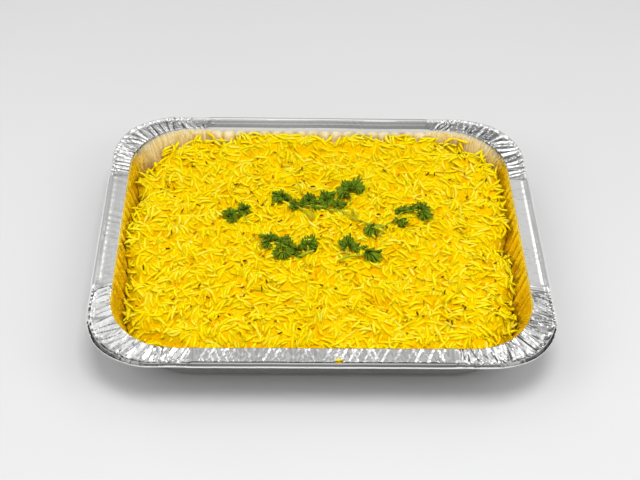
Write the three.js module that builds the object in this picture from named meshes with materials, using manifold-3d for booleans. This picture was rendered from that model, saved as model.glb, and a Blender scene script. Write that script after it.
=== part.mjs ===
// Yellow rice in a half-size foil tray, garnished with sprigs of curly parsley.
// Millimetres, +Z up. The origin is the middle of the tray's flat underside and
// the tray's long side runs along X.

import * as THREE from "three";
import Module from "manifold-3d";
import { mergeVertices } from "three/addons/utils/BufferGeometryUtils.js";

const wasm = await Module();
wasm.setup();

// The tray, over its rolled edge
const TRAY_LENGTH = 324;
const TRAY_WIDTH = 263.5;
const TRAY_HEIGHT = 43;
const FOIL = 0.8;

// The tray's section. An inset is measured inwards from the rolled edge.
const RIM_WIDTH = 15;
const RIM_GROOVE_INSET = 5.6;
const RIM_GROOVE_DROP = 1.9;
const RIM_ROUNDING = 1.6;
const HEM_TOP_DROP = 0.6;
const HEM_SIDE_DROP = 1.9;
const HEM_BOTTOM_DROP = 3.1;
const HEM_INSET = 1.4;
const BASE_INSET = 30;
const FILLET = 5;
const WALL_SLOPE = 0.25;

// The rounded corners, in plan: each is turned round a pivot
const PIVOT_INSET = 76;
const CORNER_RADIUS = 48;
const CORNER_TAPER = 0.1;

// The pressed flutes of the wall
const FLUTE_DEPTH = 0.7;
const FLUTE_TOP = 35;
const FLUTE_END = 38.5;
const FLUTES_LONG = 18;
const FLUTES_SHORT = 12;
const FLUTES_CORNER = 7;

// The rice
const REST_GAP = 0.4;
const RICE_LEVEL = 29;
const RICE_CROWN = 2.6;
const RICE_SLOPE_Y = 0.008;
const RICE_SHOULDER = 1.6;
const RICE_RINGS = [1, 0.97, 0.91, 0.81, 0.7, 0.58, 0.46, 0.33, 0.19];
const RICE_COLUMNS_LONG = 13;
const RICE_COLUMNS_SHORT = 10;
const RICE_COLUMNS_CORNER = 5;
// Swells over the heap: [height, wavelength, direction in degrees, phase in degrees]
const RICE_SWELLS = [
  [1.3, 74, 20, 40],
  [1.1, 58, 112, 160],
  [0.9, 47, 65, 250],
  [0.7, 39, 158, 20],
];
// How the heap's edge wanders up and down along the wall: [height, waves, phase in degrees]
const EDGE_SWELLS = [
  [1.1, 5, 30],
  [0.9, 9, 200],
  [0.7, 14, 95],
];
// How far the heap's edge falls, and stands off the wall, in the corners and along the front
const CORNER_FALL = 6;
const CORNER_GAP = 8;
const FRONT_FALL = 2.5;
const FRONT_GAP = 4.5;

// The parsley
const STEM_RADIUS = 0.75;
const STEM_SIDES = 4;
const STEM_STEP = 15;
const LEAF_THICKNESS = 1.1;
const LEAF_SPREAD = 84;
const LEAF_TEETH = 3;
const LEAF_NOTCH = 0.74;
const LEAF_ROUNDING = 0.2;
const LEAF_RISE = 8;
const PARSLEY_GAP = 0.3;
const LIFT_STEP = 0.1;

const FOIL_LOOK = { color: 0xc9cac8, roughness: 0.28, metalness: 1 };
const RICE_LOOK = { color: 0xf7d400, roughness: 0.55, metalness: 0 };
const PARSLEY_LOOK = { color: 0x3b7a1e, roughness: 0.6, metalness: 0 };

// Each sprig: stems as points from the cut end outwards, and clusters of leaves,
// each fanning from a base on a stem to the tips of its leaves.
const MAIN_SPRIG = {
  stems: [
    [[43, 1], [48, 10], [58, 24], [61, 25]],
    [[48, 10], [36, 15], [23, 22], [10, 29], [-7, 30], [-15, 31], [-22, 37]],
    [[48, 10], [44, 7], [40, 5]],
    [[23, 22], [24, 32], [22, 45]],
    [[61, 25], [70, 23]],
  ],
  clusters: [
    { base: [-22, 37], tips: [[-37, 41], [-30, 48]] },
    { base: [-15, 31], tips: [[-24, 26]] },
    { base: [-7, 30], tips: [[-11, 44], [-1, 40]] },
    { base: [10, 29], tips: [[3, 44], [10, 45], [2, 20]] },
    { base: [24, 32], tips: [[13, 36]] },
    { base: [22, 45], tips: [[11, 47], [19, 61], [33, 62]] },
    { base: [61, 25], tips: [[59, 36], [67, 31], [59, 10]] },
    { base: [70, 23], tips: [[73, 35], [81, 30], [84, 15]] },
    { base: [40, 5], tips: [[29, 8], [34, -5]] },
  ],
};
const FRONT_SPRIG = {
  stems: [
    [[-4, -20], [-11, -19], [-25, -14], [-35, -8]],
    [[-11, -19], [-24, -22]],
  ],
  clusters: [
    { base: [-35, -8], tips: [[-42, 3], [-35, 4], [-46, -10], [-42, -17]] },
    { base: [-25, -14], tips: [[-31, -5], [-24, 3]] },
    { base: [-24, -22], tips: [[-37, -20], [-32, -29]] },
    { base: [-11, -19], tips: [[-17, -9], [-8, -2], [-2, -10]] },
  ],
};
const LEFT_SPRIG = {
  stems: [[[-55, 11], [-56, 20], [-59, 21]]],
  clusters: [
    { base: [-59, 21], tips: [[-72, 23], [-69, 13], [-67, 30]] },
    { base: [-56, 20], tips: [[-58, 32], [-50, 30]] },
  ],
};
const RIGHT_SPRIG = {
  stems: [
    [[13, -26], [18, -23], [26, -21], [33, -21]],
    [[18, -23], [19, -13]],
  ],
  clusters: [
    { base: [19, -13], tips: [[10, -5], [18, 0], [29, -7]] },
    { base: [33, -21], tips: [[36, -9], [45, -27]] },
  ],
};

const radians = THREE.MathUtils.degToRad;
const smoothstep = THREE.MathUtils.smoothstep;

/** The inset of the wall's outer face at height z, above the fillet. */
function wallInset(z) {
  return RIM_WIDTH + RIM_ROUNDING - FOIL + (TRAY_HEIGHT - RIM_ROUNDING - z) * WALL_SLOPE;
}

/** The tray's outer face from the flat base to the top of the wall, as [inset, z, flute share]. */
function wallProfile() {
  const tilt = Math.atan(WALL_SLOPE);
  const filletEnd = FILLET * (1 - Math.sin(tilt));
  return [
    [BASE_INSET, 0, 0],
    [wallInset(filletEnd), filletEnd, 1],
    [wallInset(FLUTE_TOP), FLUTE_TOP, 1],
    [wallInset(FLUTE_END), FLUTE_END, 0],
    [wallInset(TRAY_HEIGHT - RIM_ROUNDING), TRAY_HEIGHT - RIM_ROUNDING, 0],
  ];
}

/** A profile moved inwards, off its own face, by a distance. */
function offsetProfile(profile, distance) {
  return profile.map(([inset, z, share], i) => {
    const before = profile[Math.max(i - 1, 0)];
    const after = profile[Math.min(i + 1, profile.length - 1)];
    const along = Math.hypot(after[0] - before[0], after[1] - before[1]);
    const out = (after[1] - before[1]) / along;
    const up = (before[0] - after[0]) / along;
    const flat = i === 0;
    return [
      inset + (flat ? distance * 0.4 : distance * out),
      z + (flat ? distance : distance * up),
      share,
    ];
  });
}

/**
 * The places round the tray: at each, a function from an inset to a point in plan. A corner's
 * places fan out from its pivot and a side's lie square to the side.
 */
function placesAround(long, short, corner) {
  const extentOf = (inset) => PIVOT_INSET - inset;
  const reach = (inset, angle) => {
    const extent = extentOf(inset);
    const radius = CORNER_RADIUS - inset * CORNER_TAPER;
    const middle = extent - radius;
    const c = Math.cos(angle);
    const s = Math.sin(angle);
    const side = extent / Math.max(c, s);
    if (side * Math.min(c, s) <= middle) {
      return side;
    }
    const half = middle * (c + s);
    return half + Math.sqrt(half * half - 2 * middle * middle + radius * radius);
  };
  const pivotX = TRAY_LENGTH / 2 - PIVOT_INSET;
  const pivotY = TRAY_WIDTH / 2 - PIVOT_INSET;
  const pivots = [[pivotX, pivotY], [-pivotX, pivotY], [-pivotX, -pivotY], [pivotX, -pivotY]];
  const places = [];
  pivots.forEach(([x, y], k) => {
    for (let i = 0; i < corner; i += 1) {
      const local = radians((90 * i) / corner);
      const angle = local + radians(90 * k);
      places.push((inset) => [
        x + reach(inset, local) * Math.cos(angle),
        y + reach(inset, local) * Math.sin(angle),
      ]);
    }
    const [nextX, nextY] = pivots[(k + 1) % 4];
    const steps = k % 2 === 0 ? long : short;
    const outX = Math.round(Math.cos(radians(90 * (k + 1))));
    const outY = Math.round(Math.sin(radians(90 * (k + 1))));
    for (let j = 0; j < steps; j += 1) {
      const t = j / steps;
      places.push((inset) => [
        x + (nextX - x) * t + outX * extentOf(inset),
        y + (nextY - y) * t + outY * extentOf(inset),
      ]);
    }
  });
  return places;
}

/** A closed surface through rings of points, from the middle below to the middle above. */
function ringSolid(rings, below, above) {
  const count = rings[0].length;
  const positions = [below, ...rings.flat(), above].flat();
  const last = rings.length * count + 1;
  const at = (ring, column) => 1 + ring * count + (column % count);
  const index = [];
  for (let i = 0; i < count; i += 1) {
    index.push(0, at(0, i + 1), at(0, i));
    index.push(last, at(rings.length - 1, i), at(rings.length - 1, i + 1));
    for (let r = 0; r + 1 < rings.length; r += 1) {
      index.push(at(r, i), at(r, i + 1), at(r + 1, i + 1));
      index.push(at(r, i), at(r + 1, i + 1), at(r + 1, i));
    }
  }
  const geometry = new THREE.BufferGeometry();
  geometry.setAttribute("position", new THREE.Float32BufferAttribute(positions, 3));
  geometry.setIndex(index);
  geometry.computeVertexNormals();
  return geometry;
}

/** The tray: a fluted wall and flat base, and a flange, groove and rolled hem for its rim. */
function trayGeometry() {
  const outer = wallProfile();
  const inner = offsetProfile(outer, FOIL);
  const rim = [
    [RIM_WIDTH + FOIL / 2, TRAY_HEIGHT - FOIL, 0],
    [RIM_GROOVE_INSET, TRAY_HEIGHT - RIM_GROOVE_DROP - FOIL, 0],
    [HEM_INSET, TRAY_HEIGHT - HEM_BOTTOM_DROP, 0],
    [0, TRAY_HEIGHT - HEM_SIDE_DROP, 0],
    [HEM_INSET, TRAY_HEIGHT - HEM_TOP_DROP, 0],
    [RIM_GROOVE_INSET, TRAY_HEIGHT - RIM_GROOVE_DROP, 0],
    [RIM_WIDTH, TRAY_HEIGHT, 0],
    [RIM_WIDTH + RIM_ROUNDING, TRAY_HEIGHT - RIM_ROUNDING / 3, 0],
  ];
  const section = [...outer, ...rim, ...inner.reverse()];
  const places = placesAround(2 * FLUTES_LONG, 2 * FLUTES_SHORT, 2 * FLUTES_CORNER);
  const rings = section.map(([inset, z, share]) =>
    places.map((place, i) => {
      const flute = (i % 2 === 0 ? 1 : -1) * FLUTE_DEPTH * share;
      return [...place(inset - flute), z];
    }),
  );
  return ringSolid(rings, [0, 0, 0], [0, 0, FOIL]);
}

/** The height of the heap's swells at a point, without its edges. */
function riceLevel(x, y) {
  const acrossX = (2 * x) / TRAY_LENGTH;
  const acrossY = (2 * y) / TRAY_WIDTH;
  let z = RICE_LEVEL + RICE_CROWN * (1 - acrossX ** 2) * (1 - acrossY ** 2);
  z += RICE_SLOPE_Y * y;
  for (const [height, wavelength, direction, phase] of RICE_SWELLS) {
    const along = x * Math.cos(radians(direction)) + y * Math.sin(radians(direction));
    z += height * Math.sin((2 * Math.PI * along) / wavelength + radians(phase));
  }
  return z;
}

/** The heap of rice: it fills the tray to an uneven edge, a little off the wall in places. */
function riceGeometry() {
  const places = placesAround(RICE_COLUMNS_LONG, RICE_COLUMNS_SHORT, RICE_COLUMNS_CORNER);
  const off = FOIL + FLUTE_DEPTH + REST_GAP;
  const [base, filletEnd] = offsetProfile(wallProfile(), off);
  const rings = [base, filletEnd].map(([inset, z]) =>
    places.map((place) => [...place(inset), z]),
  );
  const edge = places.map((place, i) => {
    const turn = (2 * Math.PI * i) / places.length;
    let wander = 0;
    for (const [height, waves, phase] of EDGE_SWELLS) {
      wander += height * Math.sin(waves * turn + radians(phase));
    }
    const [x, y] = place(BASE_INSET);
    const inCorner = smoothstep(Math.abs(x), 85, 125) * smoothstep(Math.abs(y), 60, 95);
    const inFront = smoothstep(-y, -10, 45) * (1 - inCorner);
    const fall = CORNER_FALL * inCorner + FRONT_FALL * inFront;
    const gap = CORNER_GAP * inCorner + FRONT_GAP * inFront;
    const z = riceLevel(x, y) - RICE_SHOULDER - fall + wander;
    return [...place(wallInset(z) + off + gap), z];
  });
  rings.push(edge);
  for (const share of RICE_RINGS.slice(1)) {
    rings.push(
      edge.map(([x, y]) => [x * share, y * share, riceLevel(x * share, y * share)]),
    );
  }
  return ringSolid(rings, [0, 0, base[1]], [0, 0, riceLevel(0, 0)]);
}

/** A geometry as a manifold solid, with its shared corners merged. */
function solidOf(geometry) {
  const bare = new THREE.BufferGeometry();
  bare.setAttribute("position", geometry.getAttribute("position").clone());
  if (geometry.index) {
    bare.setIndex(geometry.index.clone());
  }
  const merged = mergeVertices(bare, 1e-4);
  return new wasm.Manifold(
    new wasm.Mesh({
      numProp: 3,
      vertProperties: new Float32Array(merged.getAttribute("position").array),
      triVerts: new Uint32Array(merged.index.array),
    }),
  );
}

/** A manifold solid as a geometry. */
function geometryOf(solid) {
  const mesh = solid.getMesh();
  const geometry = new THREE.BufferGeometry();
  geometry.setAttribute("position", new THREE.Float32BufferAttribute(mesh.vertProperties, 3));
  geometry.setIndex(Array.from(mesh.triVerts));
  geometry.computeVertexNormals();
  return geometry;
}

/** A function that gives the height of a mesh's top at a point. */
function heightOver(mesh) {
  const caster = new THREE.Raycaster();
  const down = new THREE.Vector3(0, 0, -1);
  return (x, y) => {
    caster.set(new THREE.Vector3(x, y, 2 * TRAY_HEIGHT), down);
    return caster.intersectObject(mesh)[0].point.z;
  };
}

/**
 * The outline of a cluster of leaves about its base. Each leaf is a toothed fan round its own
 * tip, and the outline comes back to the base between leaves that stand apart.
 */
function clusterOutline([baseX, baseY], tips) {
  const leaves = tips
    .map(([x, y]) => ({
      angle: Math.atan2(y - baseY, x - baseX),
      length: Math.hypot(x - baseX, y - baseY),
    }))
    .sort((a, b) => a.angle - b.angle);
  const turn = 2 * Math.PI;
  const outline = [];
  const add = (radius, angle) => {
    outline.push(new THREE.Vector2(radius * Math.cos(angle), radius * Math.sin(angle)));
  };
  const half = radians(LEAF_SPREAD) / 2;
  leaves.forEach(({ angle, length }, i) => {
    const before = leaves.at(i - 1).angle - (i === 0 ? turn : 0);
    const after = leaves[(i + 1) % leaves.length].angle + (i + 1 === leaves.length ? turn : 0);
    const from = angle - Math.min(half, (angle - before) / 2);
    const to = angle + Math.min(half, (after - angle) / 2);
    const steps = 2 * LEAF_TEETH;
    for (let j = 0; j <= steps; j += 1) {
      const across = (2 * j) / steps - 1;
      const round = 1 - LEAF_ROUNDING * Math.abs(across);
      add(length * round * (j % 2 === 0 ? LEAF_NOTCH : 1), from + ((to - from) * j) / steps);
    }
    if (after - angle > 2 * half) {
      add(STEM_RADIUS, (after + angle) / 2);
    }
  });
  return outline;
}

/** A cluster of leaves, lying in plan and rising towards the middle of its tips. */
function clusterGeometry(base, tips) {
  const geometry = new THREE.ExtrudeGeometry(new THREE.Shape(clusterOutline(base, tips)), {
    depth: LEAF_THICKNESS,
    bevelEnabled: false,
  });
  const [baseX, baseY] = base;
  const aim = new THREE.Vector3(0, 0, 0);
  for (const [x, y] of tips) {
    aim.add(new THREE.Vector3(x - baseX, y - baseY, 0));
  }
  const axis = new THREE.Vector3(aim.y, -aim.x, 0).normalize();
  geometry.applyMatrix4(new THREE.Matrix4().makeRotationAxis(axis, radians(LEAF_RISE)));
  geometry.translate(baseX, baseY, 0);
  return geometry;
}

/** How far a geometry has to rise to lie clear of the rice. */
function restHeight(geometry, heightAt) {
  const position = geometry.getAttribute("position");
  let rest = 0;
  for (let i = 0; i < position.count; i += 1) {
    const floor = heightAt(position.getX(i), position.getY(i)) + PARSLEY_GAP;
    rest = Math.max(rest, floor - position.getZ(i));
  }
  return rest;
}

/** A stem through points in space. */
function stemGeometry(points) {
  const path = new THREE.CatmullRomCurve3(points);
  const section = new THREE.Shape();
  for (let i = 0; i < STEM_SIDES; i += 1) {
    const angle = (2 * Math.PI * i) / STEM_SIDES;
    const place = [STEM_RADIUS * Math.cos(angle), STEM_RADIUS * Math.sin(angle)];
    if (i === 0) {
      section.moveTo(...place);
    } else {
      section.lineTo(...place);
    }
  }
  return new THREE.ExtrudeGeometry(section, {
    steps: points.length - 1,
    extrudePath: path,
  });
}

/** A stem's points in plan, with more between them where they are far apart. */
function closePoints(stem) {
  const points = [];
  stem.slice(1).forEach(([x, y], i) => {
    const [fromX, fromY] = stem[i];
    const steps = Math.ceil(Math.hypot(x - fromX, y - fromY) / STEM_STEP);
    for (let j = 0; j < steps; j += 1) {
      points.push([fromX + ((x - fromX) * j) / steps, fromY + ((y - fromY) * j) / steps]);
    }
  });
  return [...points, stem.at(-1)];
}

/** A sprig laid on the rice: its stems and leaves, joined as one body. */
function sprigGeometry({ stems, clusters }, heap, heightAt) {
  const joints = new Map();
  const solids = [];
  for (const { base, tips } of clusters) {
    const cluster = clusterGeometry(base, tips);
    const rise = restHeight(cluster, heightAt);
    joints.set(base.join(), rise + LEAF_THICKNESS / 2);
    cluster.translate(0, 0, rise);
    solids.push(solidOf(cluster));
  }
  for (const stem of stems) {
    const points = closePoints(stem).map(([x, y]) => {
      const lying = heightAt(x, y) + PARSLEY_GAP + 2 * STEM_RADIUS;
      return new THREE.Vector3(x, y, joints.get([x, y].join()) ?? lying);
    });
    solids.push(solidOf(stemGeometry(points)));
  }
  let sprig = solids.reduce((whole, solid) => whole.add(solid));
  while (sprig.intersect(heap).volume() > 0) {
    sprig = sprig.translate([0, 0, LIFT_STEP]);
  }
  return geometryOf(sprig);
}

function piece(name, geometry, look) {
  const mesh = new THREE.Mesh(geometry, new THREE.MeshStandardMaterial(look));
  mesh.name = name;
  return mesh;
}

const riceTray = new THREE.Group();
riceTray.name = "rice_tray";

const rice = piece("rice_heap", riceGeometry(), RICE_LOOK);
const heightAt = heightOver(rice);
const raisedHeap = solidOf(rice.geometry).translate([0, 0, PARSLEY_GAP]);
riceTray.add(piece("foil_tray", trayGeometry(), FOIL_LOOK));
riceTray.add(rice);

const SPRIGS = {
  parsley_sprig_main: MAIN_SPRIG,
  parsley_sprig_front: FRONT_SPRIG,
  parsley_sprig_left: LEFT_SPRIG,
  parsley_sprig_right: RIGHT_SPRIG,
};
for (const [name, sprig] of Object.entries(SPRIGS)) {
  riceTray.add(piece(name, sprigGeometry(sprig, raisedHeap, heightAt), PARSLEY_LOOK));
}

export default riceTray;
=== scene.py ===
"""A foil tray of yellow basmati rice with curly parsley on top.

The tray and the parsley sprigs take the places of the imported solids. The rice is laid grain by
grain over a smaller core. Everything is in metres, +Z up, with the tray's long side along X.
"""

import math

import bpy
import numpy as np
from mathutils import Matrix, Vector
from mathutils.bvhtree import BVHTree


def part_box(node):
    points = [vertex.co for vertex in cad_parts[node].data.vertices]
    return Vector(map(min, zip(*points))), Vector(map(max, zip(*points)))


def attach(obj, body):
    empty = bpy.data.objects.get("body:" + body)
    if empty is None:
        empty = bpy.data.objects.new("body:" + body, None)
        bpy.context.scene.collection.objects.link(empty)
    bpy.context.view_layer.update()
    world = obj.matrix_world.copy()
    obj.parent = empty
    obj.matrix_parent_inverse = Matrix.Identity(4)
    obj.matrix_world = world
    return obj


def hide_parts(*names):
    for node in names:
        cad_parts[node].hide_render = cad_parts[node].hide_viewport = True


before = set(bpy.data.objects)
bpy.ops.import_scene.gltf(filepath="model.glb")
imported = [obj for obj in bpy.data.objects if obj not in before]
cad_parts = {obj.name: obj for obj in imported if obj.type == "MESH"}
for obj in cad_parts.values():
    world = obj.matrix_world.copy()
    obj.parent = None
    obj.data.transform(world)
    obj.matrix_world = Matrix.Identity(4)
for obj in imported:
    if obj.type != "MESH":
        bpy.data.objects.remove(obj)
bpy.ops.object.select_all(action="DESELECT")
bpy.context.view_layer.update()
TRAY_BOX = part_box("foil_tray")

MM = 0.001

# The tray, over its rolled edge
TRAY_X = TRAY_BOX[1].x
TRAY_Y = TRAY_BOX[1].y
TRAY_TOP = TRAY_BOX[1].z
FOIL = 0.35 * MM

# The tray's section. An inset is measured inwards from the rolled edge.
RIM_INSET = 15 * MM
RIM_ROUNDING = 1.6 * MM
WALL_INSET = RIM_INSET + RIM_ROUNDING
WALL_TOP = TRAY_TOP - RIM_ROUNDING
WALL_SLOPE = 0.25
BASE_INSET = 30 * MM
# From under the folded hem over the groove, the flange and its inner edge, and down the smooth
# band, in millimetres: inset, drop below the top
RIM_POINTS = (
    (2.3, 3.3), (1.2, 3.6), (0.45, 3.5), (0.15, 3.2), (0.1, 2.85), (0.2, 2.4), (0.5, 1.9),
    (0.85, 1.45), (1.2, 1.05), (1.45, 0.74), (1.75, 0.7), (2.7, 0.72), (3.05, 0.82),
    (3.5, 0.97), (4.4, 0.98), (5.2, 0.93), (6.1, 0.86), (7.3, 0.78), (8.6, 0.68), (9.9, 0.56),
    (11.2, 0.44), (12.5, 0.32), (13.7, 0.2), (14.7, 0.08), (15.3, 0.03), (15.65, 0.18),
    (15.95, 0.75), (16.3, 1.8), (16.7, 3.0), (17.2, 4.3),
)
WALL_ROWS = (38.0, 36.9, 35.8, 34.4, 31.5, 27.0, 21.0, 14.0, 7.5)
FILLET_POINTS = ((26.2, 3.6), (27.6, 1.6), (30.0, 0.8))

# The rounded corners in plan, each turned round a pivot
PIVOT_INSET = 76 * MM
CORNER_RADIUS = 48 * MM
CORNER_TAPER = 0.1
COLUMNS_FRONT = 192
COLUMNS_BACK = 144
COLUMNS_SHORT = 72
COLUMNS_CORNER = 168

# The pressed flutes and the folds of the foil
FLUTES_LONG = 18
FLUTES_SHORT = 12
FLUTES_CORNER = 7
FLUTE_DEPTH = 1.5 * MM
FLUTE_TOP = 35.2 * MM
FLUTE_ARCH = 4.2 * MM
CORNER_FOLD = 0.4 * MM
WALL_FOLD = 0.3 * MM
END_FOLD = 0.5 * MM

# The flange: how far it is pressed down, pleated, creased and ribbed
FLANGE_DROP = 0.6 * MM
PLEAT = 0.75 * MM
PLEAT_PITCH = 2.5 * MM
DIMPLE = 0.04 * MM
FRONT_CREASE = 0.36 * MM
SIDE_CREASE = 0.13 * MM
SWAY = 0.1 * MM
RIB = 0.35 * MM
RIB_REACH = 1.3 * MM
RIB_INSET_ENDS = 5.6 * MM
RIB_INSET_BACK = 9.9 * MM

# The hem's crinkles
CRINKLE = 0.08 * MM
CRINKLE_PITCH = 1.2 * MM
HEM_PUSH = 0.06 * MM
HEM_WANDER = 0.3 * MM

# The film of starch on the far wall ends in arches, and higher in the corners. Above it the wall
# is painted grey as a dim reflection
FILM_TOP = 38.5 * MM
FILM_ARCH = 2.6 * MM
FILM_TOP_CORNER = 42 * MM

# The rice: the cells it is laid on, and how high it comes
CELL = 0.5 * MM
RICE_FLOOR = 2 * MM
HEAP_EDGE = 20 * MM
HEAP_REACH = 30
HEAP_STEP = 4
HEADROOM = 3.6 * MM

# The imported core, evened out and sunk below the grains
CORE_DROP = 0.2 * MM
CORE_EVENING = 8
CORE_BASE_INSET = 27.6 * MM
CORE_COLUMNS = (50, 100, 72, 100)
CORE_RINGS = 130
CORE_LUMP = 0.4 * MM
CORE_PIT = 2.4 * MM

# The laying: grains at most, the depth they fill, how far each settles into the ones below,
# how many places are tried for each, and how many follow the streams of the heap
GRAINS = 12400
LAYING_DEPTH = 5 * MM
GRAIN_SINK = 0.8 * MM
PLACES_TRIED = 16
STREAMING = 0.62
STEEPEST = 0.6
WALL_GAP = 0.7 * MM
TIP_GAP = 2 * MM
LEANING = 3.4 * MM

# What lies lower than this under the heap's skin isn't in the heap
OUT_OF_HEAP = 20 * MM


# ---------------------------------------------------------------- small tools

def corners_of(piece):
    """The corners of a piece's mesh, one row each."""
    places = np.empty(3 * len(piece.data.vertices))
    piece.data.vertices.foreach_get("co", places)
    return places.reshape(-1, 3)


def place_corners(piece, places):
    """Moves the corners of a piece's mesh."""
    piece.data.vertices.foreach_set("co", np.ascontiguousarray(places).ravel())
    piece.data.update()


def name_piece(name):
    """Names the piece just added."""
    piece = bpy.context.object
    piece.name = name
    piece.data.name = name
    return piece


def grid_sheet(name, columns, rows):
    """A flat grid to be shaped, with each corner's column and row."""
    bpy.ops.mesh.primitive_grid_add(x_subdivisions=columns, y_subdivisions=rows, size=2)
    sheet = name_piece(name)
    places = corners_of(sheet)
    column = np.rint((places[:, 0] + 1) * columns / 2).astype(int)
    row = np.rint((places[:, 1] + 1) * rows / 2).astype(int)
    return sheet, column, row


def weld(piece, outwards=False):
    """Merges the corners that meet, and turns a closed shape's faces outwards."""
    bpy.context.view_layer.objects.active = piece
    bpy.ops.object.mode_set(mode="EDIT")
    bpy.ops.mesh.select_all(action="SELECT")
    bpy.ops.mesh.remove_doubles(threshold=0.01 * MM)
    bpy.ops.mesh.dissolve_degenerate(threshold=0.001 * MM)
    if outwards:
        bpy.ops.mesh.normals_make_consistent(inside=False)
    bpy.ops.object.mode_set(mode="OBJECT")


def thicken(piece, thickness, offset=-1.0):
    """Gives a sheet its thickness."""
    bpy.context.view_layer.objects.active = piece
    bpy.ops.object.modifier_add(type="SOLIDIFY")
    wall = piece.modifiers[-1]
    wall.thickness = thickness
    wall.offset = offset
    bpy.ops.object.modifier_apply(modifier=wall.name)


def smooth(piece, degrees=None):
    """Shades a piece smooth, or only where its faces meet at less than an angle."""
    bpy.ops.object.select_all(action="DESELECT")
    piece.select_set(True)
    bpy.context.view_layer.objects.active = piece
    if degrees is None:
        bpy.ops.object.shade_smooth()
    else:
        bpy.ops.object.shade_smooth_by_angle(angle=math.radians(degrees))
    piece.select_set(False)


def join(pieces, name):
    """Joins pieces into one."""
    bpy.ops.object.select_all(action="DESELECT")
    for piece in pieces:
        piece.select_set(True)
    bpy.context.view_layer.objects.active = pieces[0]
    bpy.ops.object.join()
    whole = name_piece(name)
    whole.select_set(False)
    return whole


def ball(name, rings, size):
    """A ball drawn out along X, to be shaped further."""
    bpy.ops.mesh.primitive_uv_sphere_add(
        segments=6, ring_count=rings, radius=1, rotation=(0, math.pi / 2, 0)
    )
    piece = name_piece(name)
    bpy.ops.object.transform_apply(location=True, rotation=True, scale=True)
    bpy.ops.object.mode_set(mode="EDIT")
    bpy.ops.mesh.select_all(action="SELECT")
    bpy.ops.transform.resize(value=size)
    bpy.ops.object.mode_set(mode="OBJECT")
    return piece, corners_of(piece)


def faces_of(piece):
    """The faces of a piece that was only made to be copied, which goes."""
    faces = [tuple(face.vertices) for face in piece.data.polygons]
    bpy.data.objects.remove(piece)
    return faces


def attribute(piece, name, values):
    """A number at every corner of a piece, for its material to read."""
    layer = piece.data.attributes.new(name, "FLOAT", "POINT")
    layer.data.foreach_set("value", np.ascontiguousarray(values, dtype=np.float32))


def rise(low, high, value):
    """0 up to low, 1 from high on, and smooth between."""
    t = np.clip((value - low) / (high - low), 0, 1)
    return t * t * (3 - 2 * t)


def swells(x, y, shortest, longest, count, seed):
    """An uneven surface of waves in all directions, about -1 to 1."""
    rng = np.random.default_rng(seed)
    total = np.zeros_like(x)
    for _ in range(count):
        length = math.exp(rng.uniform(math.log(shortest), math.log(longest)))
        turn = rng.uniform(0, 2 * math.pi)
        phase = rng.uniform(0, 2 * math.pi)
        along = x * math.cos(turn) + y * math.sin(turn)
        total += np.sin(2 * math.pi * along / length + phase)
    return total / math.sqrt(count)


def folds(run, whole, pitch, seed, least=0.35, steep=0.0):
    """Sharp folds at uneven distances along a closed line, from -1 to 1, steeper on one side."""
    rng = np.random.default_rng(seed)
    count = 2 * int(whole / pitch / 2)
    odd = np.where(np.arange(count) % 2, 1, -1)
    gaps = rng.uniform(0.55, 1.45, count) * (1 + steep * odd)
    places = np.cumsum(gaps) * whole / gaps.sum()
    heights = rng.uniform(least, 1, count) * odd
    return np.interp(run, places, heights, period=whole)


# ---------------------------------------------------------------- finishes

class Wire:
    """A node's output. Sums on it add Math nodes."""

    def __init__(self, tree, socket):
        self.tree = tree
        self.socket = socket

    def math(self, operation, *values):
        step = self.tree.nodes.new("ShaderNodeMath")
        step.operation = operation
        for place, value in zip(step.inputs, values):
            if isinstance(value, Wire):
                self.tree.links.new(value.socket, place)
            else:
                place.default_value = value
        return Wire(self.tree, step.outputs[0])

    def __add__(self, other):
        return self.math("ADD", self, other)

    def __radd__(self, other):
        return self.math("ADD", other, self)

    def __sub__(self, other):
        return self.math("SUBTRACT", self, other)

    def __rsub__(self, other):
        return self.math("SUBTRACT", other, self)

    def __mul__(self, other):
        return self.math("MULTIPLY", self, other)

    def __rmul__(self, other):
        return self.math("MULTIPLY", other, self)


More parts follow.
